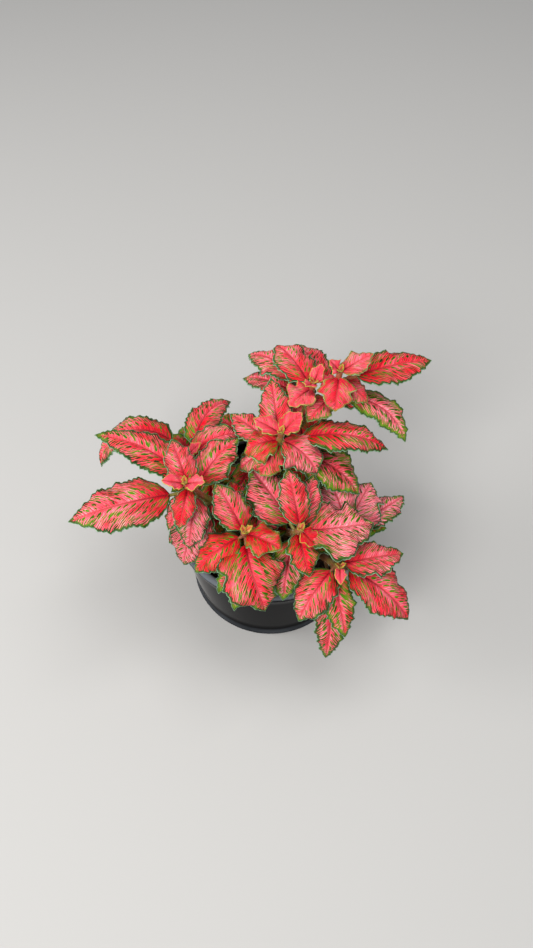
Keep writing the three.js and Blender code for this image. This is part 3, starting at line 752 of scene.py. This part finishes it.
def face_flesh(tree, leaf, paleness):
    """Red flesh under a net of paler veins, darker red by the petiole, softer on young leaves."""
    pinkness = fade(tree, paleness, 0.1, 1.5)
    flesh = mixed(tree, pinkness, FLESH_RED, FLESH_PINK)
    net = mixed(tree, pinkness, NET_CORAL, NET_PALE)
    grain = fade(tree, leaf.cloud(6, 0.5, 21.7, 2)["Fac"], 0.48, 0.72)
    grain = calc(tree, "MULTIPLY", grain, fade(tree, paleness, 0, 1, 0.2, 0.8))
    colour = mixed(tree, grain, flesh, net)
    colour = mixed(tree, calc(tree, "MULTIPLY", leaf.near_side_vein, 0.45), colour, net)
    # Deeper red by the petiole: partly the leaf's own colour, partly painted shade where leaves crowd.
    base_red_and_shade = fade(tree, leaf.along, 0.02, 0.45, 0.85, 0)
    base_red_and_shade = calc(tree, "MULTIPLY", base_red_and_shade, fade(tree, leaf.pale, 0.2, 0.8, 1, 0.8))
    colour = mixed(tree, base_red_and_shade, colour, BASE_RED_AND_SHADE)
    soft = mixed(tree, fade(tree, leaf.pale, 0, 0.3), YOUNG_RED, YOUNG_CORAL)
    soft = mixed(tree, fade(tree, leaf.green, 1.6, 2.2), soft, BUD_YELLOW)
    return mixed(tree, calc(tree, "MULTIPLY", leaf.young, 0.5), colour, soft)


def with_dark_lines(tree, leaf, colour, paleness, greenness, thin):
    """Fine dark lines between the veins: wine red by the midrib, red or olive further out."""
    line = mixed(tree, fade(tree, greenness, 0.3, 1.1), LINE_RED, LINE_OLIVE)
    line = mixed(tree, fade(tree, leaf.across, 0.3, 0.7), LINE_WINE, line)
    strength = calc(tree, "MULTIPLY", fade(tree, thin, 0, 0.5), fade(tree, leaf.young, 0.2, 1, 0.95, 0.5))
    strength = calc(tree, "MULTIPLY", strength, fade(tree, leaf.across, 0.3, 0.9, 0.6, 1))
    strength = calc(tree, "MULTIPLY", strength, fade(tree, paleness, 0.4, 1.3, 1, 0.85))
    return mixed(tree, strength, colour, line)


def with_flecks(tree, leaf, colour, greenness, inner, outer):
    """Olive-green flecks with yellowish edges: a row on each side of the midrib, smaller ones outside."""
    first = calc(tree, "ADD", inner, calc(tree, "MULTIPLY_ADD", greenness, 0.4, -0.35))
    first = calc(tree, "SUBTRACT", first, fade(tree, leaf.across, 0.4, 0.65))
    second = calc(tree, "ADD", outer, calc(tree, "MULTIPLY_ADD", greenness, 0.5, -0.4))
    second = calc(tree, "SUBTRACT", second, fade(tree, leaf.across, 0.18, 0.4, 1, 0))
    second = calc(tree, "SUBTRACT", second, fade(tree, leaf.across, 0.55, 0.85, 0, 0.35))
    fleck = calc(tree, "MAXIMUM", first, second)
    fleck = calc(tree, "SUBTRACT", fleck, fade(tree, leaf.along, 0.03, 0.2, 0.6, 0))
    fleck = calc(tree, "SUBTRACT", fleck, fade(tree, leaf.way, 0.7, 1.5, 1, 0))
    fleck = calc(tree, "SUBTRACT", fleck, calc(tree, "MULTIPLY", leaf.young, 0.4))
    olive = mixed(tree, fade(tree, leaf.patches, 0.3, 0.7), FLECK_DARK, FLECK_BRIGHT)
    colour = mixed(tree, fade(tree, fleck, -0.12, 0), colour, FLECK_FRINGE)
    return mixed(tree, fade(tree, fleck, -0.04, 0.08), colour, olive)


def with_painted_midrib_shade(tree, leaf, colour):
    """Painted shade in the crease over the midrib: darkest by the petiole, paler towards the tip."""
    painted_crease_shade = mixed(tree, fade(tree, leaf.along, 0.1, 0.6), PAINTED_CREASE_SHADE_DARK, PAINTED_CREASE_SHADE_LIGHT)
    strength = calc(tree, "MULTIPLY", leaf.near_midrib, fade(tree, leaf.along, 0.3, 0.9, 0.85, 0.5))
    return mixed(tree, strength, colour, painted_crease_shade)


def with_green_edge(tree, leaf, colour, thin, outer):
    """The green edge, whose tongues reach inwards between the veins, and its pale rim, partly painted edge
    light.
    """
    tongues = calc(tree, "MAXIMUM", fade(tree, thin, -0.2, 0.6), fade(tree, outer, -0.2, 0.7, 0, 0.7))
    tongues = calc(tree, "MULTIPLY", tongues, fade(tree, leaf.young, 0, 1, 1, 0.2))
    band = calc(tree, "MULTIPLY_ADD", leaf.patches, 1.6, -0.3)
    band = calc(tree, "MULTIPLY_ADD", leaf.green, 0.7, band)
    band = calc(tree, "ADD", band, fade(tree, leaf.along, 0.75, 1, 0, 0.35))
    band = calc(tree, "MULTIPLY", band, fade(tree, leaf.young, 0, 1, 1, 0.1))
    inside = calc(tree, "MULTIPLY", tongues, calc(tree, "ADD", band, 1.2))
    inside = calc(tree, "SUBTRACT", calc(tree, "SUBTRACT", leaf.margin, inside), band)
    lively = calc(tree, "ADD", leaf.patches, fade(tree, leaf.green, 0.9, 1.3, 0, 0.25))
    lively = calc(tree, "ADD", lively, fade(tree, leaf.along, 0.6, 1, 0, 0.1))
    green = mixed(tree, fade(tree, lively, 0.42, 0.9), EDGE_DARK, EDGE_BRIGHT)
    green = mixed(tree, fade(tree, leaf.margin, 0.3, 1.1), EDGE_SEA_GREEN, green)
    green = mixed(tree, leaf.young, green, EDGE_YOUNG)
    colour = mixed(tree, fade(tree, inside, -0.15, 0.15, 0.95, 0), colour, green)
    # The pale rim at the very edge: partly the edge's own colour, partly painted edge light.
    rim_with_edge_light = mixed(tree, leaf.young, RIM_PALE_AND_EDGE_LIGHT, RIM_YOUNG)
    return mixed(tree, fade(tree, leaf.margin, 0.08, 0.3, 0.7, 0), colour, rim_with_edge_light)


def face_of_leaf(tree, leaf):
    """The colour and relief of a blade's face, one layer over the other."""
    inner = leaf.dashes(1, 0.26, 2, 0.45, 0.195, 0.44)
    outer = leaf.dashes(2.4, 0.33, 5, 0.6, 0.26, 0.44)
    thin = leaf.dashes(2.7, 0.14, 9, 0.6, 0.25, 0.66)
    unevenness = calc(tree, "MULTIPLY_ADD", leaf.patches, 1.6, -0.8)
    greenness = calc(tree, "ADD", unevenness, leaf.green)
    paleness = calc(tree, "ADD", unevenness, leaf.pale)
    paleness = calc(tree, "MULTIPLY_ADD", fade(tree, leaf.along, 0, 0.45), 0.35, paleness)
    colour = face_flesh(tree, leaf, paleness)
    colour = with_dark_lines(tree, leaf, colour, paleness, greenness, thin)
    colour = with_flecks(tree, leaf, colour, greenness, inner, outer)
    colour = with_painted_midrib_shade(tree, leaf, colour)
    colour = with_green_edge(tree, leaf, colour, thin, outer)
    quilting = calc(tree, "MULTIPLY", fade(tree, thin, -0.5, 0.8), 0.5)
    return colour, calc(tree, "MULTIPLY_ADD", leaf.near_side_vein, -0.8, quilting)


def leaf_finish(name, side_of_leaf, roughness):
    """The material of one side of the leaves, with fine pores in its relief and gloss."""
    material, tree, shader = finish(name)
    colour, relief = side_of_leaf(tree, BladePattern(tree))
    tree.links.new(colour, shader.inputs["Base Color"])
    where = node(tree, "ShaderNodeTexCoord").outputs["Object"]
    pores = node(tree, "ShaderNodeTexNoise", {"Vector": where, "Scale": 5200, "Detail": 2}).outputs["Fac"]
    relief = calc(tree, "MULTIPLY_ADD", pores, 0.35, relief)
    bump = node(tree, "ShaderNodeBump", {"Height": relief, "Strength": 0.7, "Distance": LEAF_RELIEF})
    tree.links.new(bump.outputs["Normal"], shader.inputs["Normal"])
    tree.links.new(fade(tree, pores, 0.3, 0.7, *roughness), shader.inputs["Roughness"])
    shader.inputs["Specular IOR Level"].default_value = LEAF_SHINE
    return material


leaf_face = leaf_finish("leaf_face", face_of_leaf, FACE_ROUGHNESS)
leaf_back = leaf_finish("leaf_back", back_of_leaf, BACK_ROUGHNESS)

# A leaf's outline and bends, in mm and degrees, as the solid stems have them. A leaf there may be bent
# or shortened to pass its neighbours. It is found again by trying each way until SURE of its corners
# lie within NEAR of the solid's; with fewer than LIKELY of them, the solid has no such leaf.
SMALL_LEAF = 16
SMALL_CUP = 0.2
CUP = -0.12
RIB_STEPS = 24
TOOTH_TIP = 0.62
WAVE = 0.06
WAVES_ALONG = 4.4 * math.pi
WAVE_TURN = 2.4
BEND_SIZES = (5, 10, 15, 21, 28)
BEND_WAYS = ((1, 0), (-1, 0), (0, 1), (0, -1), (1, 1), (1, -1), (-1, 1), (-1, -1))
BENDS = [(0, 0)] + [(rise * size, turn * size) for size in BEND_SIZES for rise, turn in BEND_WAYS]
SHORTENINGS = (1, 0.86, 0.72)
NEAR = 0.02
SURE = 3
LIKELY = 2


def leaf_rib(start, heading, length, rise, droop, sweep, steps):
    """Points of a midrib, and at each the directions to the right of the leaf and above it."""
    points, sides, overs = [Vector(start)], [], []
    for i in range(steps):
        middle = (i + 0.5) / steps
        up = math.radians(rise - droop * middle**1.4)
        turn = math.radians(heading + sweep * middle)
        ahead = Vector((math.cos(up) * math.cos(turn), math.cos(up) * math.sin(turn), math.sin(up)))
        points.append(points[-1] + ahead * (length / steps))
        sides.append(Vector((math.sin(turn), -math.cos(turn), 0)))
        overs.append(sides[-1].cross(ahead))
    return points, sides, overs


def petiole_share(length):
    """The petiole's share of a leaf's length: longer leaves have longer ones."""
    return min(max((length - 12) * 0.006, 0.05), 0.2)


def blade_width(share):
    """A blade's width at a share of its length, where its greatest is about 1."""
    return 2.49 * share**0.55 * (1 - share) ** 0.8


def cup_of(length):
    """How far a blade's sides rise for its half width: small leaves are cupped, large ones arched."""
    return SMALL_CUP if length < SMALL_LEAF else CUP


def solid_teeth(length):
    """Teeth on each side of a leaf of the solid stem."""
    return 3 if length < SMALL_LEAF else 6 if length > 40 else 5 if length > 26 else 4


def corners_found(solid, shape, width, wave):
    """How many of a trial leaf's corners are corners of the solid stem. Its tip alone makes it sure."""
    length = shape[2]
    cup = cup_of(length)
    points, sides, overs = leaf_rib(*shape, RIB_STEPS)
    for height in (cup, -0.8):
        if solid.find(points[-1] + overs[-1] * height)[2] < NEAR:
            return SURE
    petiole = petiole_share(length)
    teeth = solid_teeth(length)
    found = 0
    for tooth in range(teeth):
        share = (tooth + TOOTH_TIP) / teeth
        at = (petiole + (1 - petiole) * share) * RIB_STEPS
        k = min(int(at), RIB_STEPS - 1)
        centre = points[k].lerp(points[k + 1], at - k)
        half = width / 2 * blade_width(share) * 1.08
        for hand in (-1, 1):
            wavy = math.sin(WAVES_ALONG * share + wave + hand)
            raised = cup * half + WAVE * width * wavy * blade_width(share)
            corner = centre + sides[k] * hand * half + overs[k] * raised
            found += solid.find(corner)[2] < NEAR
    return found


def leaf_in_place(stem, row, index, solid):
    """The leaf as it was bent and shortened in the solid to pass its neighbours, or None if left out."""
    below, heading, length, rise, droop, width, sweep, pale, green = row
    start = along_stalk(stem, leaf_root(stem, below))
    wave = index * WAVE_TURN
    best, most = None, 0
    for shortening in SHORTENINGS:
        for lift, turn in BENDS:
            shape = (start, heading + turn, length * shortening, rise + lift, droop, sweep)
            found = corners_found(solid, shape, width * shortening, wave)
            if found > most:
                best, most = (shape, width * shortening, pale, green, wave), found
            if most >= SURE:
                return best
    return best if most >= LIKELY else None


# The finer blade, in mm: its steps along and columns across, its teeth, and its side veins, which
# arch towards the tip, with the quilting between them and the groove and ruffles of its face and edge.
FINE_STEPS = 96
BLANK_STEPS = ((12, 24), (26, 56), (36, 84), (math.inf, 128))
COLUMNS = (0.05, 0.12, 0.22, 0.34, 0.47, 0.6, 0.72, 0.83, 0.92, 1.0)
BLADE_THICKNESS = 0.38
TOOTH_PITCH = 2.7
TOOTH_HEIGHT = 1.5
YOUNG_TOOTH = 1.1
TIP_TAPER = 0.45
LOBES = 0.1
VEIN_PITCH = 5.8
VEIN_SLANT = 0.75
VEIN_ARCH = 1.1
QUILTING = 0.5
GROOVE = 0.3
GROOVE_WIDTH = 0.6
BULGE = 0.1
RUFFLES = ((0.85, 8.5, 1.7, 2), (0.45, 3.7, 3.1, 1))
MIDRIB_STEPS = 24
CLOSED_GREEN = 2
CLOSED_SIZE = 0.65
BUD_SHAPE = (3.6, 66, 30, 0)
BUD_WIDTH = 2
BUD_TONE = (0.3, 2.4)


def leaf_blank(steps):
    """A flat blank, one unit long from its root at 0, with its columns closest by rib and margin."""
    bpy.ops.mesh.primitive_grid_add(x_subdivisions=2 * len(COLUMNS), y_subdivisions=steps, size=2)
    blank = bpy.context.object
    for vertex in blank.data.vertices:
        column = round(abs(vertex.co.x) * len(COLUMNS))
        place = COLUMNS[column - 1] if column else 0
        vertex.co = (math.copysign(place, vertex.co.x), (vertex.co.y + 1) / 2, 0)
    blank.data.materials.append(leaf_face)
    blank.data.materials.append(leaf_back)
    for name in ("leaf_place", "leaf_vein", "leaf_tone"):
        blank.data.attributes.new(name, "FLOAT_VECTOR", "POINT")
    take(blank)
    bpy.ops.object.shade_smooth()
    return blank


blanks = [(longest, leaf_blank(steps)) for longest, steps in BLANK_STEPS]


def tooth_at(place, seed, hand):
    """How far the margin stands out, 0 to 1: teeth that lean towards the tip, none quite like the next."""
    place += 0.35 * math.sin(1.3 * place + seed * 5 + hand)
    share = place - math.floor(place)
    size = 0.68 + 0.32 * math.sin(2.9 * math.floor(place) + seed * 9 + 2 * hand)
    main = (share / 0.66) ** 0.9 if share < 0.66 else (1 - share) / 0.34
    second = abs((share * 3 + 0.4) % 1 - 0.5) * 2
    return size * (0.78 * main + 0.22 * second)


def midrib_rod(name, length, points, overs):
    """The petiole and, sunk into the blade's back, the midrib: one rod that thins towards the tip."""
    petiole = petiole_share(length)
    path, radii = [], []
    for i in range(MIDRIB_STEPS + 1):
        share = i / MIDRIB_STEPS * (petiole + 0.86 * (1 - petiole))
        k = min(int(share * FINE_STEPS), FINE_STEPS - 1)
        under = min(max((share - petiole * 0.6) / (petiole * 0.4 + 0.06), 0), 1)
        radius = (0.85 - 0.7 * share**0.8) * min(1, 0.35 + length / 40)
        centre = points[k].lerp(points[k + 1], share * FINE_STEPS - k)
        path.append(centre - overs[k] * under * (radius + 0.28))
        radii.append(radius)
    return rod(name, path, radii, 2, stalk_skin)


def bent_leaf(name, shape, width, pale, green, wave, seed):
    """A copy of a blank, bent into a leaf's place and given its thickness, and the rod of its midrib."""
    length = shape[2]
    points, sides, overs = leaf_rib(*shape, FINE_STEPS)
    petiole = petiole_share(length)
    blade = length * (1 - petiole)
    cup = cup_of(length)
    young = min(max((19 - length) / 9, 0), 1)
    teeth = max(blade / TOOTH_PITCH, 3)
    tooth_height = TOOTH_HEIGHT * min(1, length / 26) ** 0.5
    if young > 0.6:
        tooth_height = YOUNG_TOOTH * min(1, length / 8)
    lobe = LOBES * min(max(2.8 * width / length - 0.9, 0.25), 1.3)
    breadth = min(max(1.6 * width / length, 0.5), 1)
    side_veins = 5 + blade / VEIN_PITCH
    blank = next(blank for longest, blank in blanks if length < longest)
    leaf = blank.copy()
    leaf.data = blank.data.copy()
    leaf.name = name
    bpy.context.collection.objects.link(leaf)
    places, veins = [], []
    for vertex in leaf.data.vertices:
        hand = -1 if vertex.co.x < 0 else 1
        across, along = abs(vertex.co.x), vertex.co.y
        at = min((petiole + (1 - petiole) * along) * FINE_STEPS, FINE_STEPS)
        k = min(int(at), FINE_STEPS - 1)
        centre = points[k].lerp(points[k + 1], at - k)

        full = blade_width(along) if 0 < along < 1 else 0
        ends = min(along * 8, 1) * min((1 - along) * 10, 1)
        lobes = math.sin(14 * along + seed * 3 + 2 * hand) + 0.6 * math.sin(25 * along + seed * 7 - hand)
        taper = 1 - TIP_TAPER * max((along - 0.6) / 0.4, 0) ** 1.5
        half = max(width / 2 * full * taper * (1 + lobe * lobes * ends), 0.75 - 8 * along, 0.06)
        tooth = tooth_height * tooth_at(along * teeth, seed, hand) * ends
        way = across * half
        out = way + across**8 * tooth

        arch = (VEIN_SLANT + VEIN_ARCH * way / width) * way / blade
        vein = side_veins * (along - arch) + 0.2 * hand
        quilting = QUILTING * abs(math.sin(math.pi * vein)) ** 0.8 * math.sin(math.pi * across**0.8)
        groove = GROOVE * math.exp(-((way / GROOVE_WIDTH) ** 2)) * min(along * 6, 1) * min(half / 3, 1)
        bulge = BULGE * half * math.sin(math.pi * across**0.85)
        wavy = WAVE * width * math.sin(WAVES_ALONG * along + wave + hand) * full * across**1.5
        ruffle = 0
        for height, pitch, shift, side in RUFFLES:
            ruffle += height * math.sin(2 * math.pi * blade / pitch * along + shift * wave + side * hand)
        ruffle *= across**4 * ends * min(half / 6, 1) * breadth
        lift = cup * half * across + quilting * min(half / 7, 1) - groove + bulge + wavy + ruffle

        vertex.co = (centre + sides[k] * hand * out + overs[k] * lift) * MM
        places += [along, across, (1 - across) * half + (1 - across**8) * tooth]
        veins += [vein, 1.3 * way, seed + 0.25 * (1 + hand) * min(across / COLUMNS[0], 1)]
    attributes = leaf.data.attributes
    attributes["leaf_place"].data.foreach_set("vector", places)
    attributes["leaf_vein"].data.foreach_set("vector", veins)
    attributes["leaf_tone"].data.foreach_set("vector", [pale, green, young] * len(leaf.data.vertices))
    thickness = leaf.modifiers.new("thickness", "SOLIDIFY")
    thickness.thickness = BLADE_THICKNESS * min(1, 0.5 + length / 40) * MM
    thickness.offset = -1
    thickness.material_offset = 1
    take(leaf)
    bpy.ops.object.modifier_apply(modifier=thickness.name)
    return [leaf, midrib_rod(name + "_rib", length, points, overs)]


for count, stem in enumerate(STEMS):
    corners = [vertex.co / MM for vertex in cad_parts[stem["name"]].data.vertices]
    solid = kdtree.KDTree(len(corners))
    for i, corner in enumerate(corners):
        solid.insert(corner, i)
    solid.balance()
    pieces = []
    for index, row in enumerate(stem["rows"]):
        placed = leaf_in_place(stem, row, index, solid)
        if placed is None:
            continue
        shape, width, pale, green, wave = placed
        if green > CLOSED_GREEN:
            shape = (*shape[:2], shape[2] * CLOSED_SIZE, *shape[3:])
            width *= CLOSED_SIZE
        seed = (count * 17 + index * 7) % 23 + 1
        pieces += bent_leaf(f"{stem['name']}_leaf_{index}", shape, width, pale, green, wave, seed)
    for side in (0, 180):
        turn = stem["leaves"][0][1] + 90 + side
        shape = (along_stalk(stem, 0.99), turn, *BUD_SHAPE)
        pieces += bent_leaf(f"{stem['name']}_bud_{side}", shape, BUD_WIDTH, *BUD_TONE, 0, 3 + side // 90)
    leaves = joined(stem["name"] + "_leaves", pieces)
    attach(leaves, "root")
    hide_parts(stem["name"])
for _, blank in blanks:
    bpy.data.objects.remove(blank)

# Plain pale floor, soft studio light, and the camera at the height and angle of a person who looks
# down on the plant.
LOOKED_AT = Vector((0, 0, 0.07))
CAMERA_PLACE = (-0.0018, -0.18873, 0.35494)
CAMERA_TILT = 34.57
SENSOR_WIDTH = 36
FOCAL_PIXELS = 785
FRAME_PIXELS = 948

bpy.ops.mesh.primitive_plane_add(size=6)
floor = bpy.context.object
floor.name = "floor"
pale_floor, tree, shader = finish("pale_floor")
shader.inputs["Base Color"].default_value = tint(190, 188, 184)
shader.inputs["Roughness"].default_value = 0.8
floor.data.materials.append(pale_floor)

world = bpy.data.worlds.new("studio")
bpy.context.scene.world = world
world.use_nodes = True
world.node_tree.nodes["Background"].inputs["Color"].default_value = (0.9, 0.93, 1, 1)
world.node_tree.nodes["Background"].inputs["Strength"].default_value = 0.28
bpy.context.scene.view_settings.view_transform = "Standard"


def softbox(name, place, size, power):
    """A square area light that faces the plant."""
    bpy.ops.object.light_add(type="AREA", location=place)
    lamp = bpy.context.object
    lamp.name = name
    lamp.data.size = size
    lamp.data.energy = power
    lamp.rotation_euler = (LOOKED_AT - Vector(place)).to_track_quat("-Z", "Y").to_euler()


softbox("key_softbox", (-0.4, -0.65, 0.8), 0.45, 8.5)
softbox("fill_softbox", (0.2, 0.1, 1.05), 0.6, 4.9)
softbox("side_softbox", (-0.9, 0.0, 0.55), 0.35, 4)

bpy.ops.object.camera_add(location=CAMERA_PLACE, rotation=(math.radians(CAMERA_TILT), 0, 0))
camera = bpy.context.object
camera.data.sensor_width = SENSOR_WIDTH
camera.data.lens = SENSOR_WIDTH * FOCAL_PIXELS / FRAME_PIXELS
camera.data.clip_start = 0.01
bpy.context.scene.camera = camera
